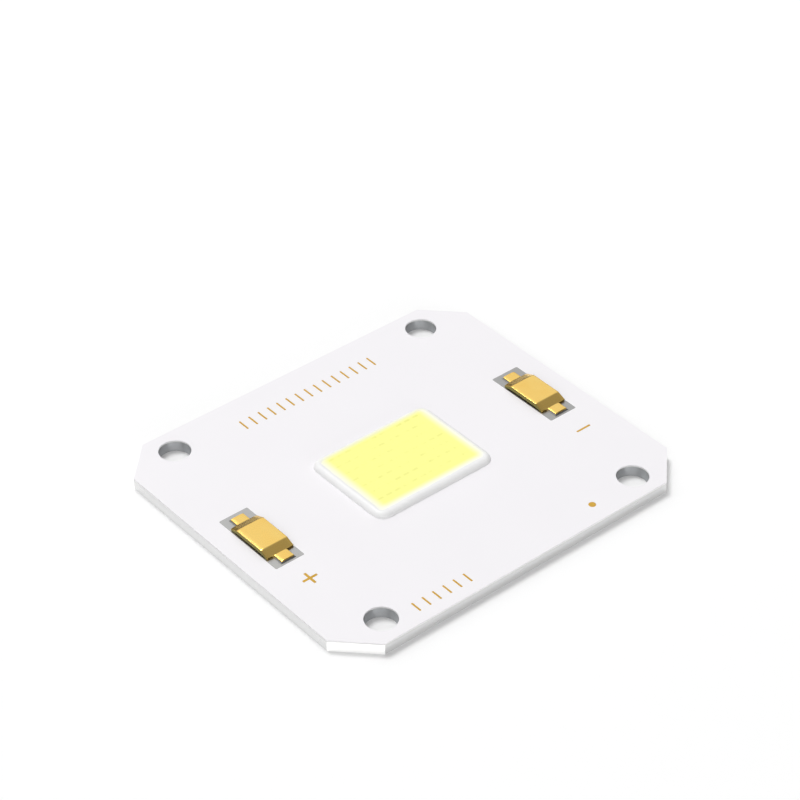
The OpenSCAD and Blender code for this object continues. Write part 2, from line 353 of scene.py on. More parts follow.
@dataclass(frozen=True)
class SoftMetal(Finish):
    """Plated or levelled soft metal: two close tones in soft patches, and a satin that varies with them."""

    second_colour: str = "#FFFFFF"
    patch_size: float = 1.0
    roughness_spread: float = 0.08
    lump_depth: float = 0.004
    stretch: tuple[float, float, float] = (1.0, 1.0, 1.0)

    def pattern(self, tree: bpy.types.NodeTree, shader: bpy.types.Node, place: bpy.types.NodeSocket) -> None:
        """Soft patches that move colour, satin and a shallow relief together.

        Args:
            tree: the material's node tree.
            shader: its Principled shader.
            place: object coordinates, in metres.
        """
        drawn = add_node(tree, "ShaderNodeMapping", {"Vector": place, "Scale": self.stretch}).outputs[0]
        patch = add_node(tree, "ShaderNodeTexNoise", {
            "Vector": drawn, "Scale": per_metre(self.patch_size), "Detail": 3.0,
            "Roughness": 0.55}).outputs[0]
        tone = add_node(tree, "ShaderNodeMix", {
            "Factor": patch, 6: linear(self.colour), 7: linear(self.second_colour)},
            data_type="RGBA").outputs[2]
        tree.links.new(tone, shader.inputs["Base Color"])
        satin = add_node(tree, "ShaderNodeMapRange", {
            "Value": patch, "From Min": 0.3, "From Max": 0.7,
            "To Min": self.roughness - self.roughness_spread,
            "To Max": self.roughness + self.roughness_spread}).outputs[0]
        tree.links.new(satin, shader.inputs["Roughness"])
        relief = add_node(tree, "ShaderNodeBump", {
            "Strength": 0.6, "Distance": self.lump_depth * MM, "Height": patch}).outputs[0]
        tree.links.new(relief, shader.inputs["Normal"])


@dataclass(frozen=True)
class GoldStrip(SoftMetal):
    """Gold-plated strip whose faces along X show dull olive: bare brass where its long sides were cut after
    plating, and painted shade down the hanging sides.
    """

    # dull olive: bare brass of the cut edge and painted shade of the strip's sides
    shear_and_shade_colour: str = "#8F8850"
    shear_roughness: float = 0.5
    shear_and_shade_from: float = 0.75
    shear_and_shade_full: float = 0.95

    def pattern(self, tree: bpy.types.NodeTree, shader: bpy.types.Node, place: bpy.types.NodeSocket) -> None:
        """The plated metal's patches, changed to a dull olive where the face looks along X: partly bare brass
        of the cut edge, partly painted shade.

        Args:
            tree: the material's node tree.
            shader: its Principled shader.
            place: object coordinates, in metres.
        """
        super().pattern(tree, shader, place)
        normal = add_node(tree, "ShaderNodeNewGeometry").outputs["Normal"]
        facing = add_node(tree, "ShaderNodeVectorMath", {0: normal}, operation="ABSOLUTE").outputs[0]
        sideways = add_node(tree, "ShaderNodeSeparateXYZ", {0: facing}).outputs[0]
        # painted shade, with the bare brass of the cut edge: faces that look along X turn dull olive
        cut = add_node(tree, "ShaderNodeMapRange", {
            "Value": sideways, "From Min": self.shear_and_shade_from, "From Max": self.shear_and_shade_full},
            interpolation_type="SMOOTHSTEP").outputs[0]
        plated = shader.inputs["Base Color"].links[0].from_socket
        tone = add_node(tree, "ShaderNodeMix", {
            "Factor": cut, 6: plated, 7: linear(self.shear_and_shade_colour)}, data_type="RGBA").outputs[2]
        tree.links.new(tone, shader.inputs["Base Color"])
        satin = shader.inputs["Roughness"].links[0].from_socket
        dull = add_node(tree, "ShaderNodeMix", {
            "Factor": cut, 2: satin, 3: self.shear_roughness}, data_type="FLOAT").outputs[0]
        tree.links.new(dull, shader.inputs["Roughness"])


@dataclass(frozen=True)
class PhosphorCloud:
    """Where the phosphor lies: full inside one rectangle and gone at the edge of a wider one.

    It was poured a little nearer to the corner of +X and +Y, and stains the bead on those two sides.
    """

    centre: tuple[float, float] = (0.22, 0.31)
    outer: tuple[float, float] = (7.35, 5.45)
    fade: tuple[float, float] = (1.35, 1.05)

    def share(self, tree: bpy.types.NodeTree, place: bpy.types.NodeSocket) -> bpy.types.NodeSocket:
        """Product over X and Y of a smooth step, from 0 at the outer rectangle to 1 one fade inside it.

        Args:
            tree: the material's node tree.
            place: object coordinates, in metres.

        Returns:
            The share of phosphor, from 0 to 1.
        """
        centre = (self.centre[0] * MM, self.centre[1] * MM, 0.0)
        offset = add_node(tree, "ShaderNodeVectorMath", {0: place, 1: centre},
                          operation="SUBTRACT").outputs[0]
        mirrored = add_node(tree, "ShaderNodeVectorMath", {0: offset}, operation="ABSOLUTE").outputs[0]
        sides = add_node(tree, "ShaderNodeSeparateXYZ", {0: mirrored}).outputs
        steps = [add_node(tree, "ShaderNodeMapRange", {
            "Value": side, "From Min": (outer - fade) * MM, "From Max": outer * MM,
            "To Min": 1.0, "To Max": 0.0}, interpolation_type="SMOOTHSTEP").outputs[0]
            for side, outer, fade in zip(sides, self.outer, self.fade)]
        return add_node(tree, "ShaderNodeMath", {0: steps[0], 1: steps[1]}, operation="MULTIPLY").outputs[0]


@dataclass(frozen=True)
class WhiteSilicone(Finish):
    """White filled silicone, dispensed as a bead and cured: milky, soft-edged and slightly glossy.

    Where phosphor has stained its inner side it turns pale yellow.
    """

    milk_colour: str = "#F5F5F4"
    stain: str = "#FFFFA6"
    ripple_size: float = 1.6
    ripple_depth: float = 0.02
    glow_weight: float = 0.05
    glow_reach: float = 0.2

    def pattern(self, tree: bpy.types.NodeTree, shader: bpy.types.Node, place: bpy.types.NodeSocket) -> None:
        """Milky depth, with the slow ripple that the dispensing needle leaves.

        Args:
            tree: the material's node tree.
            shader: its Principled shader.
            place: object coordinates, in metres.
        """
        shader.inputs["Subsurface Weight"].default_value = self.glow_weight
        shader.inputs["Subsurface Scale"].default_value = self.glow_reach * MM
        shader.inputs["Subsurface Radius"].default_value = (1.0, 1.0, 1.0)
        shader.inputs["IOR"].default_value = SILICONE_IOR
        ripple = add_node(tree, "ShaderNodeTexNoise", {
            "Vector": place, "Scale": per_metre(self.ripple_size), "Detail": 1.5}).outputs[0]
        milk = add_node(tree, "ShaderNodeMix", {
            "Factor": ripple, 6: linear(self.colour), 7: linear(self.milk_colour)},
            data_type="RGBA").outputs[2]
        share = PhosphorCloud().share(tree, place)
        stained = add_node(tree, "ShaderNodeMix", {
            "Factor": share, 6: milk, 7: linear(self.stain)}, data_type="RGBA").outputs[2]
        tree.links.new(stained, shader.inputs["Base Color"])
        relief = add_node(tree, "ShaderNodeBump", {
            "Strength": 0.3, "Distance": self.ripple_depth * MM, "Height": ripple}).outputs[0]
        tree.links.new(relief, shader.inputs["Normal"])


@dataclass(frozen=True)
class PhosphorSilicone(Finish):
    """Silicone full of yellow phosphor powder: bright lemon, thinning to white where it climbs the dam.

    The rows of dies below show as faint deeper dashes, one between each die of a row and the next.
    """

    rim_colour: str = "#FFFFF2"
    powder_colour: str = "#FCFB8E"
    dash_colour: str = "#EFEF84"
    pitch: tuple[float, float] = (1.15, 1.35)
    dash_ends: tuple[float, float] = (0.24, 0.40)
    dash_sides: tuple[float, float] = (0.34, 0.46)
    patch_edges: tuple[float, float] = (0.42, 0.62)
    dash_strength: tuple[float, float] = (0.1, 0.75)
    grain_size: float = 0.14
    grain_depth: float = 0.01

    def dashes(self, tree: bpy.types.NodeTree, place: bpy.types.NodeSocket) -> bpy.types.NodeSocket:
        """Draws the soft dashes, stronger in some patches than in others.

        The field is cut into cells of the dies' pitch, whose middles lie between four dies. Each cell's
        shares run from 0 at its middle to a half at its border, along which a row of dies lies.

        Args:
            tree: the material's node tree.
            place: object coordinates, in metres.

        Returns:
            The strength of the dashes, from 0 to 1.
        """
        pitch_x, pitch_y = self.pitch
        half_cell = (0.5 * pitch_x * MM, 0.5 * pitch_y * MM, 0.0)
        cells = (per_metre(pitch_x), per_metre(pitch_y), 0.0)
        shifted = add_node(tree, "ShaderNodeVectorMath", {0: place, 1: half_cell},
                           operation="SUBTRACT").outputs[0]
        cell = add_node(tree, "ShaderNodeVectorMath", {0: shifted, 1: cells}, operation="MULTIPLY").outputs[0]
        share = add_node(tree, "ShaderNodeVectorMath", {0: cell}, operation="FRACTION").outputs[0]
        centred = add_node(tree, "ShaderNodeVectorMath", {0: share, 1: (0.5, 0.5, 0.5)},
                           operation="SUBTRACT").outputs[0]
        offset = add_node(tree, "ShaderNodeVectorMath", {0: centred}, operation="ABSOLUTE").outputs[0]
        axes = add_node(tree, "ShaderNodeSeparateXYZ", {0: offset}).outputs
        along = add_node(tree, "ShaderNodeMapRange", {
            "Value": axes[0], "From Min": self.dash_ends[0], "From Max": self.dash_ends[1],
            "To Min": 1.0, "To Max": 0.0}, interpolation_type="SMOOTHSTEP").outputs[0]
        across = add_node(tree, "ShaderNodeMapRange", {
            "Value": axes[1], "From Min": self.dash_sides[0], "From Max": self.dash_sides[1]},
            interpolation_type="SMOOTHSTEP").outputs[0]
        dash = add_node(tree, "ShaderNodeMath", {0: along, 1: across}, operation="MULTIPLY").outputs[0]
        patch = add_node(tree, "ShaderNodeTexNoise", {
            "Vector": place, "Scale": per_metre(pitch_x), "Detail": 2.0}).outputs[0]
        seen = add_node(tree, "ShaderNodeMapRange", {
            "Value": patch, "From Min": self.patch_edges[0], "From Max": self.patch_edges[1],
            "To Min": self.dash_strength[0], "To Max": self.dash_strength[1]}).outputs[0]
        return add_node(tree, "ShaderNodeMath", {0: dash, 1: seen}, operation="MULTIPLY").outputs[0]

    def pattern(self, tree: bpy.types.NodeTree, shader: bpy.types.Node, place: bpy.types.NodeSocket) -> None:
        """Lemon field with a fine powder grain, the dies' faint dashes, and a rim that fades to white.

        Args:
            tree: the material's node tree.
            shader: its Principled shader.
            place: object coordinates, in metres.
        """
        shader.inputs["IOR"].default_value = SILICONE_IOR
        grain = add_node(tree, "ShaderNodeTexNoise", {
            "Vector": place, "Scale": per_metre(self.grain_size), "Detail": 2.0}).outputs[0]
        powder = add_node(tree, "ShaderNodeMix", {
            "Factor": grain, 6: linear(self.colour), 7: linear(self.powder_colour)},
            data_type="RGBA").outputs[2]
        dashes = self.dashes(tree, place)
        field = add_node(tree, "ShaderNodeMix", {
            "Factor": dashes, 6: powder, 7: linear(self.dash_colour)}, data_type="RGBA").outputs[2]
        share = PhosphorCloud().share(tree, place)
        gel = add_node(tree, "ShaderNodeMix", {
            "Factor": share, 6: linear(self.rim_colour), 7: field}, data_type="RGBA").outputs[2]
        tree.links.new(gel, shader.inputs["Base Color"])
        relief = add_node(tree, "ShaderNodeBump", {
            "Strength": 0.25, "Distance": self.grain_depth * MM, "Height": grain}).outputs[0]
        tree.links.new(relief, shader.inputs["Normal"])


@dataclass(frozen=True)
class SapphireDie(Finish):
    """Sapphire die with its thin metal fingers: a cool, glassy chip."""

    finger_colour: str = "#E3C98A"
    radian_length: float = 0.12
    finger_edge: float = 0.9

    def pattern(self, tree: bpy.types.NodeTree, shader: bpy.types.Node, place: bpy.types.NodeSocket) -> None:
        """Fingers across a pale blue chip, along the crests of a wave.

        The wave turns by one radian in each radian length.

        Args:
            tree: the material's node tree.
            shader: its Principled shader.
            place: object coordinates, in metres.
        """
        shader.inputs["IOR"].default_value = SAPPHIRE_IOR
        fingers = add_node(tree, "ShaderNodeTexWave", {
            "Vector": place, "Scale": per_metre(self.radian_length) / WAVE_RADIANS},
            bands_direction="Y").outputs["Fac"]
        line = add_node(tree, "ShaderNodeMath", {0: fingers, 1: self.finger_edge},
                        operation="GREATER_THAN").outputs[0]
        chip = add_node(tree, "ShaderNodeMix", {
            "Factor": line, 6: linear(self.colour), 7: linear(self.finger_colour)},
            data_type="RGBA").outputs[2]
        tree.links.new(chip, shader.inputs["Base Color"])


@dataclass(frozen=True)
class LegendInk(Finish):
    """Screen-printed epoxy legend ink, ochre: thin, dull and a little uneven in tone."""

    thick_colour: str = "#D4A844"
    mottle_size: float = 0.3
    sheen: float = 0.2

    def pattern(self, tree: bpy.types.NodeTree, shader: bpy.types.Node, place: bpy.types.NodeSocket) -> None:
        """Two ochre tones, as ink that a screen lays unevenly.

        Args:
            tree: the material's node tree.
            shader: its Principled shader.
            place: object coordinates, in metres.
        """
        shader.inputs["Specular IOR Level"].default_value = self.sheen
        mottle = add_node(tree, "ShaderNodeTexNoise", {
            "Vector": place, "Scale": per_metre(self.mottle_size), "Detail": 2.0}).outputs[0]
        tone = add_node(tree, "ShaderNodeMix", {
            "Factor": mottle, 6: linear(self.colour), 7: linear(self.thick_colour)},
            data_type="RGBA").outputs[2]
        tree.links.new(tone, shader.inputs["Base Color"])


class Finishes(Enum):
    """Every finish of the module, by the record's slot or the piece that it dresses."""

    PLATE = PlateAluminium("rolled_aluminium_routed", "#E6E7E9", 0.30, 1.0)
    MASK = SolderMaskWhite("solder_mask_white", "#F0EEF1", 0.34)
    DIELECTRIC = FilledEpoxy("filled_epoxy_layer", "#EFEFED", 0.6)
    COPPER = SoftMetal("rolled_copper_foil", "#E08E66", 0.35, 1.0, "#C87850", 0.8)
    TIN = SoftMetal("hot_air_levelled_tin", "#A8A7A5", 0.42, 1.0, "#9A9B9B", 0.9, 0.05, 0.004)
    GOLD = GoldStrip("gold_plated_strip", "#F6D680", 0.18, 1.0, "#F3C564", 1.6, 0.02, 0.0006, (1.0, 0.5, 1.0))
    SILICONE = WhiteSilicone("dispensed_white_silicone", "#EEEEEF", 0.36)
    PHOSPHOR = PhosphorSilicone("phosphor_filled_silicone", "#FFFF99", 0.42)
    DIE = SapphireDie("sapphire_led_die", "#9DB4CC", 0.12)
    WIRE = SoftMetal("drawn_gold_wire", "#F7D070", 0.2, 1.0, "#EDBE58", 0.4)
    INK = LegendInk("screen_printed_ochre_ink", "#C99D36", 0.55)


class Wardrobe:
    """Builds each finish once and hands it to the pieces that wear it."""

    def __init__(self) -> None:
        """Starts with nothing built."""
        self.built: dict[Finishes, bpy.types.Material] = {}

    def dress(self, piece: bpy.types.Object, finish: Finishes) -> None:
        """Puts one finish on every slot of a piece.

        Args:
            piece: a mesh object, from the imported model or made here.
            finish: the finish that it gets.
        """
        if finish not in self.built:
            self.built[finish] = finish.value.build()
        material = self.built[finish]
        if not piece.material_slots:
            piece.data.materials.append(material)
        for slot in piece.material_slots:
            slot.material = material


# ---- mesh helpers ----

def grid_quads(rows: int, columns: int, closed: bool = True) -> np.ndarray:
    """Quads of a grid of points whose rows are rings, or open lines.

    Args:
        rows: number of rows of points.
        columns: number of points in each row.
        closed: whether each row's last point joins its first.

    Returns:
        Indices, four a face. Face (i, j) joins points j and j + 1, taken round, of rows i and i + 1.
    """
    i, j = np.meshgrid(np.arange(rows - 1), np.arange(columns if closed else columns - 1), indexing="ij")
    right = (j + 1) % columns
    corners = [i * columns + j, i * columns + right, (i + 1) * columns + right, (i + 1) * columns + j]
    return np.stack(corners, axis=-1).reshape(-1, 4)


def round_rect(
    half_x: float, half_y: float, radius: float, steps: int, along: int,
) -> tuple[np.ndarray, np.ndarray]:
    """Outline of a rectangle with round corners, anticlockwise from the +X side.

    Each corner is a quarter turn about its own centre, which lies one radius inside both sides. Each side
    between two corners is the straight line between their ends.

    Args:
        half_x: half length along X.
        half_y: half length along Y.
        radius: corner radius.
        steps: points on each corner.
        along: points added inside each straight side.

    Returns:
        Points and outward unit normals, both of shape (count, 2).
    """
    quarter = np.linspace(0.0, math.pi / 2, steps)
    signs = np.array([[1, 1], [-1, 1], [-1, -1], [1, -1]])
    angles = quarter[None, :] + np.arange(4)[:, None] * math.pi / 2
    normals = np.stack([np.cos(angles), np.sin(angles)], axis=-1)
    centres = signs * np.array([half_x - radius, half_y - radius])
    corners = centres[:, None, :] + radius * normals
    share = (np.arange(1, along + 1) / (along + 1))[None, :, None]
    after = np.roll(corners, -1, axis=0)
    sides = corners[:, -1:, :] * (1 - share) + after[:, :1, :] * share
    side_normals = np.repeat(normals[:, -1:, :], along, axis=1)
    points = np.concatenate([corners, sides], axis=1).reshape(-1, 2)
    return points, np.concatenate([normals, side_normals], axis=1).reshape(-1, 2)


def make_piece(
    name: str, points: np.ndarray, faces: list[list[int]], smooth_below: float = 40.0,
) -> bpy.types.Object:
    """Makes a mesh object at the origin from points in millimetres.

    Args:
        name: the piece's name.
        points: shape (count, 3), in millimetres.
        faces: point indices of each face.
        smooth_below: edges that turn by fewer degrees than this are shaded smooth.

    Returns:
        The object, linked to the scene, with every face outwards.
    """
    mesh = bpy.data.meshes.new(name)
    mesh.from_pydata((points * MM).tolist(), [], faces)
    shell = bmesh.new()
    shell.from_mesh(mesh)
    bmesh.ops.remove_doubles(shell, verts=shell.verts, dist=WELD_REACH)
    bmesh.ops.recalc_face_normals(shell, faces=shell.faces)
    shell.to_mesh(mesh)
    shell.free()
    mesh.shade_smooth()
    mesh.set_sharp_from_angle(angle=math.radians(smooth_below))
    piece = bpy.data.objects.new(name, mesh)
    bpy.context.scene.collection.objects.link(piece)
    return piece


# ---- sub-assemblies ----

@dataclass
class Board:
    """The plate and its circuit layers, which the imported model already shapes."""

    wardrobe: Wardrobe

    def dress(self) -> None:
        """Gives each packed layer, die row and wire row its own finish."""
        finishes = {
            "base_plate": Finishes.PLATE, "dielectric_layer": Finishes.DIELECTRIC,
            "solder_mask": Finishes.MASK,
            "copper_positive": Finishes.COPPER, "copper_negative": Finishes.COPPER,
            "solder_pad_positive": Finishes.TIN, "solder_pad_negative": Finishes.TIN,
            "terminal_positive": Finishes.GOLD, "terminal_negative": Finishes.GOLD,
            "silicone_dam": Finishes.SILICONE, "phosphor_gel": Finishes.PHOSPHOR,
        }
        for name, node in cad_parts.items():
            row = Finishes.DIE if name.startswith("led_row") else Finishes.WIRE
            finish = finishes.get(name, row)
            self.wardrobe.dress(node, finish)
            log.info("dressed %s in %s", name, finish.value.name)


class Pole(Enum):
    """The two terminals, by the sign of the side of X that each stands on."""

    POSITIVE = -1
    NEGATIVE = 1


@dataclass
class FoldedTerminal:
    """Gold-plated bridge folded from one stamped strip: foot, slope, flat top, slope and foot."""

    wardrobe: Wardrobe
    pole: Pole
    thickness: float = 0.27
    edge_radius: float = 0.08
    crown_drop: float = 0.045
    crown_reach: float = 0.45
    lip_share: float = 0.6
    lip_width: float = 0.2
    bend_radius: float = 0.335
    top_length: float = 3.86
    slope_length: float = 1.07
    foot_width: float = 1.65
    shoulder_round: float = 0.07
    notch_round: float = 0.08
    foot_corner: float = 0.12
    notch_step: float = 0.004
    end_squeeze: float = 0.98
    path_steps: int = 6001
    bridge_steps: int = 64
    foot_steps: int = 8
    turn_steps: int = 7
    section_steps: int = 6

    def __post_init__(self) -> None:
        """Takes the place, height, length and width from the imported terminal."""
        low, high = span(f"terminal_{self.pole.name.lower()}")
        self.middle_x, self.middle_y, _ = (low + high) / 2
        self.bridge_width, length, self.height = high - low
        self.foot_length = (length - self.top_length) / 2 - self.slope_length
        self.base_z = low[2]

    def half_path(self) -> tuple[np.ndarray, np.ndarray, np.ndarray, np.ndarray, float]:
        """Middle line of the strip from the middle of its top to the end of one foot.

        The heading is level on the top, falls evenly through the first bend to the slope's angle, holds,
        rises evenly through the second bend and is level on the foot. The line is the running sum of the
        heading's direction.

        Returns:
            Distances along the strip, Y, Z and heading at each, and the distance at which the foot begins.
        """
        rise = self.height - self.thickness
        fall = math.atan2(rise, self.slope_length)
        tangent = self.bend_radius * math.tan(fall / 2)
        bend = self.bend_radius * fall
        slope = math.hypot(rise, self.slope_length) - 2 * tangent
        lengths = [self.top_length / 2 - tangent, bend, slope, bend, self.foot_length - tangent]
        marks = np.concatenate([[0.0], np.cumsum(lengths)])
        distance = np.linspace(0.0, marks[-1], self.path_steps)
        heading = np.interp(distance, marks, [0.0, 0.0, -fall, -fall, 0.0, 0.0])
        step = np.diff(distance)
        middle = (heading[1:] + heading[:-1]) / 2
        y = np.concatenate([[0.0], np.cumsum(np.cos(middle) * step)])
        z = self.height - self.thickness / 2 + np.concatenate([[0.0], np.cumsum(np.sin(middle) * step)])
        return distance, y, z, heading, float(marks[3] + bend / 2)

    @staticmethod
    def drawn_in(distance: np.ndarray, length: float, radius: float) -> np.ndarray:
        """How far a quarter round at the end of the length has drawn the outline in, at each distance."""
        past = np.clip(distance - (length - radius), 0.0, radius)
        return radius - np.sqrt(radius**2 - past**2)

    def stations(self, length: float, foot_at: float) -> tuple[np.ndarray, np.ndarray, np.ndarray]:
        """Places along half the strip, with its half width and the inset that rounds its end.

        The half width is even over the bridge, turns a quarter round at the shoulder, drops to the foot,
        turns a quarter round back in the notch, and turns once more at the foot's free corner.

        Args:
            length: length of half the strip.
            foot_at: distance at which the foot begins.

        Returns:
            Distance, half width and inset of each station.
        """
        turn = np.linspace(0.0, math.pi / 2, self.turn_steps)
        wide, narrow = self.bridge_width / 2, self.foot_width / 2
        bridge = np.linspace(0.0, foot_at - self.shoulder_round, self.bridge_steps)[:-1]
        shoulder = foot_at - self.shoulder_round * (1 - np.sin(turn))
        notch = foot_at + self.notch_step + self.notch_round * (1 - np.cos(turn))
        foot = np.linspace(notch[-1], length - self.foot_corner, self.foot_steps)[1:-1]
        corner = length - self.foot_corner * (1 - np.sin(turn[:-1]))
        tip = length - self.edge_radius * (1 - np.sin(turn[1:]))
        end = np.sort(np.concatenate([corner, tip]))
        distance = np.concatenate([bridge, shoulder, notch, foot, end])
        half = np.concatenate([
            np.full(bridge.size, wide),
            wide - self.shoulder_round * (1 - np.cos(turn)),
            narrow + self.notch_round * (1 - np.sin(turn)),
            np.full(foot.size, narrow),
            narrow - self.drawn_in(end, length, self.foot_corner)])
        return distance, half, self.drawn_in(distance, length, self.edge_radius)

    def section(self, half: np.ndarray, inset: np.ndarray, gap: np.ndarray) -> tuple[np.ndarray, np.ndarray]:
        """Sections of the strip: a flat bar with round edges, a top that falls away and sides that hang.

        From the middle of the underside outwards, the right half is the inner side of the hanging lip, a
        quarter turn round below, a quarter turn round above, and a crown that rises as one less the square
        of the distance from its inner end. The left half is the same in a mirror. The lip hangs over its
        share of the gap below.

        Args:
            half: half width at each station.
            inset: how far the end's rounding has drawn the outline in there.
            gap: clear height under the strip there.

        Returns:
            Places across the strip and square to it, both of shape (stations, points).
        """
        wide, thin = (half - inset)[:, None], (self.thickness / 2 - inset)[:, None]
        radius = (self.edge_radius - self.end_squeeze * inset)[:, None]
        hang = self.lip_share * gap[:, None]
        turn = np.linspace(0.0, math.pi / 2, self.section_steps)[None, :]
        share = np.linspace(0.0, 1.0, self.section_steps)[None, 1:]
        lip_x = wide - np.minimum(self.lip_width, wide / 2)
        right_x = np.concatenate([
            lip_x,
            lip_x,
            wide - radius + radius * np.sin(turn),
            wide - radius + radius * np.cos(turn),
            wide - radius - share * np.minimum(self.crown_reach, wide / 2)], axis=1)
        right_n = np.concatenate([
            -thin,
            -thin - hang,
            radius - thin - hang - radius * np.cos(turn),
            thin - self.crown_drop - radius + radius * np.sin(turn),
            thin - self.crown_drop * (1 - share) ** 2], axis=1)
        return (np.concatenate([right_x, -right_x[:, ::-1]], axis=1),
                np.concatenate([right_n, right_n[:, ::-1]], axis=1))

    def surface(self) -> tuple[np.ndarray, list[list[int]]]:
        """Carries the strip's section along its middle line, square to its heading.

        Returns:
            Points in millimetres and faces, closed at both feet.
        """
        line_s, line_y, line_z, line_heading, foot_at = self.half_path()
        distance, half, inset = self.stations(float(line_s[-1]), foot_at)
        y = np.interp(distance, line_s, line_y)
        z = np.interp(distance, line_s, line_z)
        heading = np.interp(distance, line_s, line_heading)
        y = np.concatenate([-y[:0:-1], y])
        z = np.concatenate([z[:0:-1], z])
        heading = np.concatenate([-heading[:0:-1], heading])
        half = np.concatenate([half[:0:-1], half])
        inset = np.concatenate([inset[:0:-1], inset])
        gap = np.clip(z - self.thickness / 2, 0.0, None)
        across, thick = self.section(half, inset, gap)
        points = np.stack([
            self.middle_x + across,
            self.middle_y + y[:, None] - np.sin(heading)[:, None] * thick,
            self.base_z + z[:, None] + np.cos(heading)[:, None] * thick], axis=-1)
        rows, columns = across.shape
        faces = grid_quads(rows, columns).tolist()
        faces.append(list(range(columns)))
        faces.append(list(range((rows - 1) * columns, rows * columns)))
        return points.reshape(-1, 3), faces

    def build(self) -> bpy.types.Object:
        """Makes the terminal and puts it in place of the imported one.

        Returns:
            The dressed terminal.
        """
        label = self.pole.name.lower()
        points, faces = self.surface()
        piece = make_piece(f"folded_terminal_{label}", points, faces)
        self.wardrobe.dress(piece, Finishes.GOLD)
        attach(piece, BODY)
        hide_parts(f"terminal_{label}")
        return piece


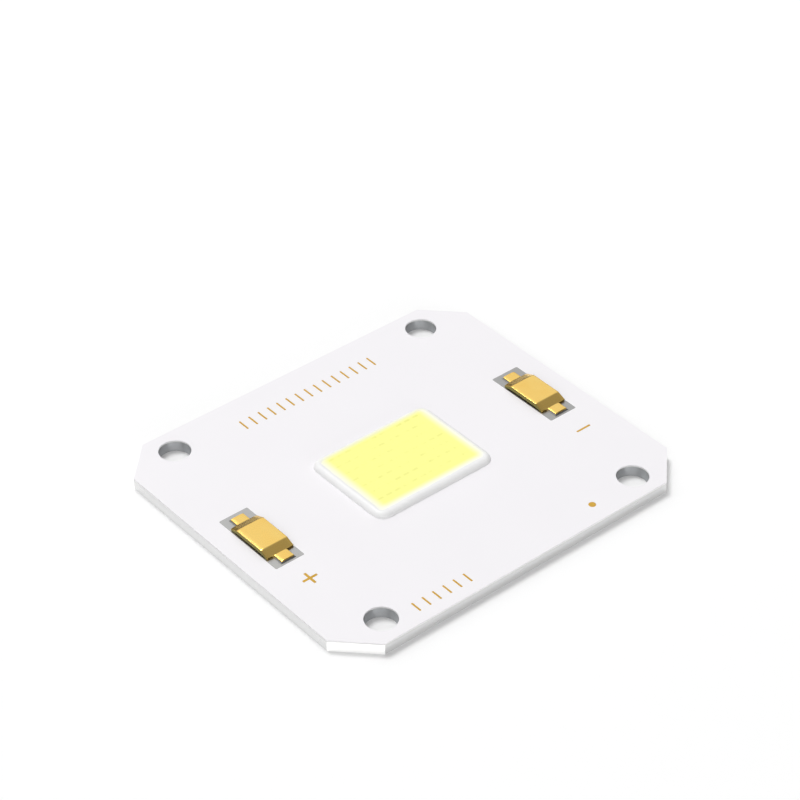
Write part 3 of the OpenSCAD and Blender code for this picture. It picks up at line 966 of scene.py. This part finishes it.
@dataclass
class LightField:
    """The silicone dam and the phosphor gel that it holds.

    The dam's foot and the two windows are each given by half lengths along X and Y and a corner radius.
    """

    wardrobe: Wardrobe
    bead_width: float = 1.25
    middle_radius: float = 0.725
    meniscus: float = 0.11
    meniscus_reach: float = 0.45
    sway: float = 0.012
    sway_waves: tuple[tuple[float, float, float], ...] = ((7, 0.6, 0.8), (17, 0.4, 0.0))
    bead_corner_steps: int = 17
    bead_side_steps: int = 60
    bead_section_steps: int = 33
    wall_overlap: float = 0.02
    ring_count: int = 25
    ring_reach: float = 1.4
    ring_crowding: float = 1.7
    least_corner: float = 0.02
    pole_steps: int = 14
    gel_corner_steps: int = 9
    gel_side_steps: int = 24
    dam_foot: tuple[float, float, float] = (6.6, 4.68, 0.1)
    mask_window: tuple[float, float, float] = (6.4, 4.48, 0.05)
    layer_window: tuple[float, float, float] = (5.7, 4.2, 0.05)
    mask_depth: float = 0.06
    core_gap: float = 0.01

    def __post_init__(self) -> None:
        """Takes the levels and the bead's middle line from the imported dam, gel and plate."""
        low, high = span("silicone_dam")
        self.middle_x, self.middle_y = high[:2] - self.bead_width / 2
        self.mask_z = low[2]
        self.bead_height = high[2] - low[2]
        self.gel_level = span("phosphor_gel")[1][2] - low[2]
        self.core_z = span("base_plate")[1][2]

    def bead_circle(self) -> tuple[float, float]:
        """Radius of the bead's section, and the height of its centre above the mask."""
        radius = (self.bead_width**2 / 4 + self.bead_height**2) / (2 * self.bead_height)
        return radius, self.bead_height - radius

    def dam(self) -> bpy.types.Object:
        """Carries a segment of a circle round a rectangle with round corners.

        The section's size sways by about one part in eighty, as a dispensed bead does. The sway is a sum of
        waves round the outline, each with its count, its weight and its start.

        Returns:
            The dressed dam.
        """
        radius, centre = self.bead_circle()
        line, normal = round_rect(
            self.middle_x, self.middle_y, self.middle_radius, self.bead_corner_steps, self.bead_side_steps)
        start = math.asin(-centre / radius)
        angle = np.linspace(start, math.pi - start, self.bead_section_steps)
        turn = 2 * math.pi * np.arange(len(line)) / len(line)
        waves = sum(weight * np.sin(count * turn + begin) for count, weight, begin in self.sway_waves)
        size = 1.0 + self.sway * waves
        out = size[:, None] * radius * np.cos(angle)
        up = size[:, None] * (radius * np.sin(angle) + centre)
        points = np.stack([
            line[:, :1] + normal[:, :1] * out,
            line[:, 1:] + normal[:, 1:] * out,
            self.mask_z + up], axis=-1)
        points = np.concatenate([points, points[:1]], axis=0)
        faces = grid_quads(*points.shape[:2]).tolist()
        piece = make_piece("silicone_bead", points.reshape(-1, 3), faces, 50.0)
        self.wardrobe.dress(piece, Finishes.SILICONE)
        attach(piece, BODY)
        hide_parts("silicone_dam")
        return piece

    def gel_rings(self) -> tuple[np.ndarray, np.ndarray]:
        """Outlines of the gel from the core up to the dam and in to the middle, with their heights.

        Below, it narrows from the dam's foot through the windows of the mask and of the insulating layer.
        Above, the first rings lie inside a rectangle with round corners, closest together at the dam. Their
        height is the gel's level plus a rise that dies away exponentially from the dam. The last rings
        shrink evenly towards the middle.

        Returns:
            Points of shape (rings, count, 2), and one height for each ring.
        """
        radius, centre = self.bead_circle()
        brim = self.gel_level + self.meniscus
        wall = math.sqrt(radius**2 - (brim - centre) ** 2) - self.wall_overlap
        half_x, half_y, corner = self.middle_x - wall, self.middle_y - wall, self.middle_radius - wall
        steps = np.linspace(0.0, 1.0, self.ring_count) ** self.ring_crowding * self.ring_reach
        outlines = [self.layer_window, self.mask_window, self.dam_foot]
        outlines += [(half_x - d, half_y - d, max(corner - d, self.least_corner)) for d in steps]
        rings = [round_rect(*sizes, self.gel_corner_steps, self.gel_side_steps)[0] for sizes in outlines]
        heights = [self.core_z + self.core_gap, self.mask_z - self.mask_depth, self.mask_z]
        heights += [self.mask_z + self.gel_level + self.meniscus * math.exp(-d / self.meniscus_reach)
                    for d in steps]
        shrink = np.linspace(1.0, 0.0, self.pole_steps)[1:-1]
        inner, inner_height = rings[-1], heights[-1]
        rings += [inner * share for share in shrink]
        heights += [inner_height] * len(shrink)
        return np.array(rings), np.array(heights)

    def gel(self) -> bpy.types.Object:
        """Joins the gel's rings, and closes them with a pole above and a pole below.

        Returns:
            The dressed gel.
        """
        flat, z = self.gel_rings()
        rows, columns = flat.shape[:2]
        points = np.concatenate([flat, np.repeat(z[:, None, None], columns, axis=1)], axis=-1).reshape(-1, 3)
        poles = np.array([[0.0, 0.0, z[-1]], [0.0, 0.0, z[0]]])
        points = np.concatenate([points, poles])
        j = np.arange(columns)
        last = (rows - 1) * columns
        top = np.stack([last + j, last + (j + 1) % columns, np.full(columns, rows * columns)], axis=-1)
        bottom = np.stack([(j + 1) % columns, j, np.full(columns, rows * columns + 1)], axis=-1)
        faces = grid_quads(rows, columns).tolist() + top.tolist() + bottom.tolist()
        piece = make_piece("phosphor_fill", points, faces, 50.0)
        self.wardrobe.dress(piece, Finishes.PHOSPHOR)
        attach(piece, BODY)
        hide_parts("phosphor_gel")
        return piece


@dataclass(frozen=True)
class TickRow:
    """One printed row of plain upright ticks."""

    name: str
    first_x: float
    last_x: float
    middle_y: float
    height: float
    count: int


@dataclass
class Legend:
    """The generic printed marks: plus, minus, a locating dot and two plain rows of ticks."""

    wardrobe: Wardrobe
    film: float = 0.02
    edge: float = 0.03
    stroke: float = 0.3
    plus_at: tuple[float, float] = (-18.61, -7.9)
    plus_arm: float = 1.8
    minus_at: tuple[float, float] = (18.55, -7.9)
    minus_length: float = 1.9
    minus_thinning: float = 0.8
    dot_at: tuple[float, float] = (10.59, -17.67)
    dot_radius: float = 0.4
    dip_radius: float = 0.15
    dot_steps: int = 49
    bar_corner: float = 0.25
    bar_steps: int = 4
    tick_width: float = 0.22
    rows: tuple[TickRow, ...] = (
        TickRow("long_tick_row", -8.8, 8.8, 15.8, 1.6, 15),
        TickRow("short_tick_row", -13.3, -6.6, -17.9, 1.4, 6),
    )

    def __post_init__(self) -> None:
        """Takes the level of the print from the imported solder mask."""
        self.mask_z = span("solder_mask")[1][2]

    def lay(self, name: str, outer: np.ndarray, inner: np.ndarray) -> bpy.types.Object:
        """Lays one or more ink shapes of the same number of corners.

        Each shape is its outline on the mask, the same outline drawn in by the edge's width and raised by
        the film, and a flat top and bottom.

        Args:
            name: the piece's name.
            outer: corners of each shape, (shapes, corners, 2), anticlockwise.
            inner: the same corners drawn in.

        Returns:
            The dressed mark.
        """
        shapes, corners = outer.shape[:2]
        low = np.concatenate([outer, np.full((shapes, corners, 1), self.mask_z)], axis=-1)
        high = np.concatenate([inner, np.full((shapes, corners, 1), self.mask_z + self.film)], axis=-1)
        points = np.concatenate([low, high], axis=1).reshape(-1, 3)
        start = (np.arange(shapes) * 2 * corners)[:, None, None]
        walls = (start + grid_quads(2, corners)[None, :, :]).reshape(-1, 4)
        ring = np.arange(corners)[None, :]
        tops = start[:, :, 0] + corners + ring
        bottoms = start[:, :, 0] + ring[:, ::-1]
        piece = make_piece(name, points, walls.tolist() + tops.tolist() + bottoms.tolist(), 80.0)
        self.wardrobe.dress(piece, Finishes.INK)
        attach(piece, BODY)
        return piece

    def cross(self, half: float, width: float) -> np.ndarray:
        """Twelve corners of a cross, anticlockwise: its +X arm's three, turned by each quarter of a turn.

        Args:
            half: half length of a stroke.
            width: half width of a stroke.

        Returns:
            Points of shape (12, 2), round the plus mark's middle.
        """
        arm = np.array([[half, -width], [half, width], [width, width]])
        turns = [np.array([[math.cos(a), -math.sin(a)], [math.sin(a), math.cos(a)]])
                 for a in np.arange(4) * math.pi / 2]
        return np.concatenate([arm @ turn.T for turn in turns]) + np.array(self.plus_at)

    def plus(self) -> bpy.types.Object:
        """Draws a plus of two equal strokes.

        Returns:
            The dressed mark.
        """
        outer = self.cross(self.plus_arm / 2, self.stroke / 2)
        inner = self.cross(self.plus_arm / 2 - self.edge, self.stroke / 2 - self.edge)
        return self.lay("plus_mark", outer[None], inner[None])

    def bars(self, name: str, middles: np.ndarray, sizes: np.ndarray) -> bpy.types.Object:
        """Draws bars whose corners are rounded by the same share of their shorter side.

        Args:
            name: the piece's name.
            middles: middle of each bar, (bars, 2).
            sizes: length along X and along Y of each bar, (bars, 2).

        Returns:
            The dressed mark.
        """
        unit, normals = round_rect(0.5, 0.5, self.bar_corner, self.bar_steps, 0)
        radius = self.bar_corner * sizes.min(axis=1)[:, None, None]
        centres = middles[:, None, :] + np.sign(unit) * (sizes[:, None, :] / 2 - radius)
        return self.lay(name, centres + normals * radius, centres + normals * (radius - self.edge))

    def ticks(self, row: TickRow) -> bpy.types.Object:
        """Draws one row of ticks.

        Args:
            row: the row's name, places and size.

        Returns:
            The dressed mark.
        """
        middles = np.stack([np.linspace(row.first_x, row.last_x, row.count),
                            np.full(row.count, row.middle_y)], axis=-1)
        return self.bars(row.name, middles, np.tile([self.tick_width, row.height], (row.count, 1)))

    def dot(self) -> bpy.types.Object:
        """Turns the section of a flat disc, with a shallow dip in its middle, about an upright axis.

        Returns:
            The dressed mark.
        """
        section = np.array([
            [0.0, self.film / 2], [self.dip_radius - self.edge, self.film / 2], [self.dip_radius, self.film],
            [self.dot_radius - self.edge, self.film], [self.dot_radius, 0.0], [0.0, 0.0]])
        reach, rise = section.T
        angle = np.linspace(0.0, 2 * math.pi, self.dot_steps)[:, None]
        points = np.stack([
            self.dot_at[0] + reach * np.cos(angle),
            self.dot_at[1] + reach * np.sin(angle),
            self.mask_z + np.repeat(rise[None, :], angle.size, axis=0)], axis=-1)
        faces = grid_quads(self.dot_steps, len(section)).tolist()
        piece = make_piece("locating_dot", points.reshape(-1, 3), faces, 50.0)
        self.wardrobe.dress(piece, Finishes.INK)
        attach(piece, BODY)
        return piece

    def build(self) -> list[bpy.types.Object]:
        """Prints every mark.

        Returns:
            The dressed marks.
        """
        minus_size = np.array([[self.minus_length, self.minus_thinning * self.stroke]])
        marks = [self.plus(), self.bars("minus_mark", np.array([self.minus_at]), minus_size), self.dot()]
        return marks + [self.ticks(row) for row in self.rows]


# ---- studio ----

@dataclass(frozen=True)
class SoftLamp:
    """One square soft lamp that points at the plate, with its place and edge length in millimetres."""

    name: str
    place: tuple[float, float, float]
    size: float
    watts: float

    def hang(self) -> bpy.types.Object:
        """Hangs the lamp.

        Returns:
            The lamp.
        """
        data = bpy.data.lights.new(self.name, "AREA")
        data.size = self.size * MM
        data.energy = self.watts
        piece = bpy.data.objects.new(self.name, data)
        piece.location = Vector(self.place) * MM
        piece.rotation_euler = (-piece.location).to_track_quat("-Z", "Y").to_euler()
        bpy.context.scene.collection.objects.link(piece)
        return piece


@dataclass
class Studio:
    """White table, soft overhead light from behind, a low fill from the front, and the camera.

    Each fade is the range over which a light comes in, as the dot product of a direction with its own.
    """

    aim: tuple[float, float] = (6.771, 8.435)
    stand: tuple[float, float, float] = (-141.160, -167.956, 169.570)
    lens: float = 115.563
    table_half: float = 1500.0
    camera_lift: float = 0.12
    mirror_lift: float = 0.4
    table_steps: int = 9
    table_drop: float = 0.02
    table_colour: tuple[float, float, float, float] = (0.86, 0.86, 0.86, 1.0)
    white_light: tuple[float, float, float, float] = (1.0, 1.0, 1.0, 1.0)
    screen_toward: tuple[float, float, float] = (0.10, 0.95, 0.30)
    screen_fade: tuple[float, float] = (0.0, 0.8)
    screen_heights: tuple[float, float] = (0.12, 0.42)
    sky_strength: tuple[float, float] = (0.11, 0.97)
    card_toward: tuple[float, float, float] = (-0.58, -0.69, 0.43)
    card_fade: tuple[float, float] = (0.80, 0.88)
    card_strength: float = 1.1
    lamps: tuple[SoftLamp, ...] = (
        SoftLamp("overhead_lamp", (20.0, 560.0, 1275.0), 500.0, 9.9),
        SoftLamp("front_fill_lamp", (-40.0, -595.0, 90.0), 200.0, 0.6),
    )

    def board(self) -> bpy.types.Material:
        """Makes the table's white board, which is clear from below.

        A little glow lifts it to white for the camera. Reflections see it with a larger lift.

        Returns:
            The material.
        """
        material = bpy.data.materials.new("white_table_board")
        material.use_nodes = True
        tree = material.node_tree
        tree.nodes.clear()
        board = add_node(tree, "ShaderNodeBsdfDiffuse", {"Color": self.table_colour}).outputs[0]
        ray = add_node(tree, "ShaderNodeLightPath")
        direct = add_node(tree, "ShaderNodeMath", {
            0: ray.outputs["Is Camera Ray"], 1: self.camera_lift}, operation="MULTIPLY").outputs[0]
        lift = add_node(tree, "ShaderNodeMath", {
            0: ray.outputs["Is Glossy Ray"], 1: self.mirror_lift, 2: direct},
            operation="MULTIPLY_ADD").outputs[0]
        glow = add_node(tree, "ShaderNodeEmission", {"Color": self.white_light, "Strength": lift}).outputs[0]
        shown = add_node(tree, "ShaderNodeAddShader", {0: board, 1: glow}).outputs[0]
        below = add_node(tree, "ShaderNodeNewGeometry").outputs["Backfacing"]
        clear = add_node(tree, "ShaderNodeBsdfTransparent").outputs[0]
        surface = add_node(tree, "ShaderNodeMixShader", {0: below, 1: shown, 2: clear}).outputs[0]
        add_node(tree, "ShaderNodeOutputMaterial", {"Surface": surface})
        return material

    def table(self) -> bpy.types.Object:
        """Lays a white table under the plate. It shows white to the camera, and keeps the plate's shadow.

        Returns:
            The table.
        """
        share = np.linspace(-1.0, 1.0, self.table_steps)
        x, y = np.meshgrid(share * self.table_half, share * self.table_half)
        points = np.stack([x, y, np.full_like(x, -self.table_drop)], axis=-1).reshape(-1, 3)
        quads = grid_quads(self.table_steps, self.table_steps, closed=False)
        mesh = bpy.data.meshes.new("table")
        mesh.from_pydata((points * MM).tolist(), [], quads.tolist())
        piece = bpy.data.objects.new("table", mesh)
        bpy.context.scene.collection.objects.link(piece)
        mesh.materials.append(self.board())
        return piece

    def sky(self) -> None:
        """Lights the set from all round: bright above and behind, dim in front but for one soft card."""
        world = bpy.data.worlds.new("studio_sky")
        world.use_nodes = True
        tree = world.node_tree
        tree.nodes.clear()
        toward = add_node(tree, "ShaderNodeTexCoord").outputs["Generated"]
        back = add_node(tree, "ShaderNodeVectorMath", {0: toward, 1: self.screen_toward},
                        operation="DOT_PRODUCT").outputs["Value"]
        behind = add_node(tree, "ShaderNodeMapRange", {
            "Value": back, "From Min": self.screen_fade[0], "From Max": self.screen_fade[1]},
            interpolation_type="SMOOTHSTEP").outputs[0]
        height = add_node(tree, "ShaderNodeSeparateXYZ", {0: toward}).outputs[2]
        above = add_node(tree, "ShaderNodeMapRange", {
            "Value": height, "From Min": self.screen_heights[0], "From Max": self.screen_heights[1]},
            interpolation_type="SMOOTHSTEP").outputs[0]
        screen = add_node(tree, "ShaderNodeMath", {0: behind, 1: above}, operation="MULTIPLY").outputs[0]
        strength = add_node(tree, "ShaderNodeMapRange", {
            "Value": screen, "To Min": self.sky_strength[0], "To Max": self.sky_strength[1]}).outputs[0]
        front = add_node(tree, "ShaderNodeVectorMath", {0: toward, 1: self.card_toward},
                         operation="DOT_PRODUCT").outputs["Value"]
        card = add_node(tree, "ShaderNodeMapRange", {
            "Value": front, "From Min": self.card_fade[0], "From Max": self.card_fade[1],
            "To Max": self.card_strength}, interpolation_type="SMOOTHSTEP").outputs[0]
        total = add_node(tree, "ShaderNodeMath", {0: card, 1: strength}, operation="ADD").outputs[0]
        light = add_node(tree, "ShaderNodeBackground", {
            "Color": self.white_light, "Strength": total}).outputs[0]
        add_node(tree, "ShaderNodeOutputWorld", {"Surface": light})
        bpy.context.scene.world = world

    def camera(self) -> bpy.types.Object:
        """Sets the camera that looks down on the corner between the two near edges.

        Returns:
            The camera.
        """
        data = bpy.data.cameras.new("camera")
        data.lens = self.lens
        data.sensor_width = 36.0
        data.clip_start = 0.005
        data.clip_end = 20.0
        piece = bpy.data.objects.new("camera", data)
        aim = Vector((*self.aim, span("solder_mask")[1][2]))
        piece.location = (aim + Vector(self.stand)) * MM
        piece.rotation_euler = (-Vector(self.stand)).to_track_quat("-Z", "Y").to_euler()
        bpy.context.scene.collection.objects.link(piece)
        bpy.context.scene.camera = piece
        return piece

    def build(self) -> None:
        """Sets up the table, the light and the camera."""
        self.camera()
        self.table()
        self.sky()
        for lamp in self.lamps:
            lamp.hang()
        bpy.context.scene.view_settings.view_transform = "Standard"


def main() -> None:
    """Builds the studio, then the module's pieces in order."""
    logging.basicConfig(level=logging.INFO, format="%(message)s")
    wardrobe = Wardrobe()
    Studio().build()
    Board(wardrobe).dress()
    for pole in Pole:
        log.info("built %s", FoldedTerminal(wardrobe, pole).build().name)
    field = LightField(wardrobe)
    log.info("built %s", field.dam().name)
    log.info("built %s", field.gel().name)
    for mark in Legend(wardrobe).build():
        log.info("printed %s", mark.name)


if __name__ == "__main__":
    main()
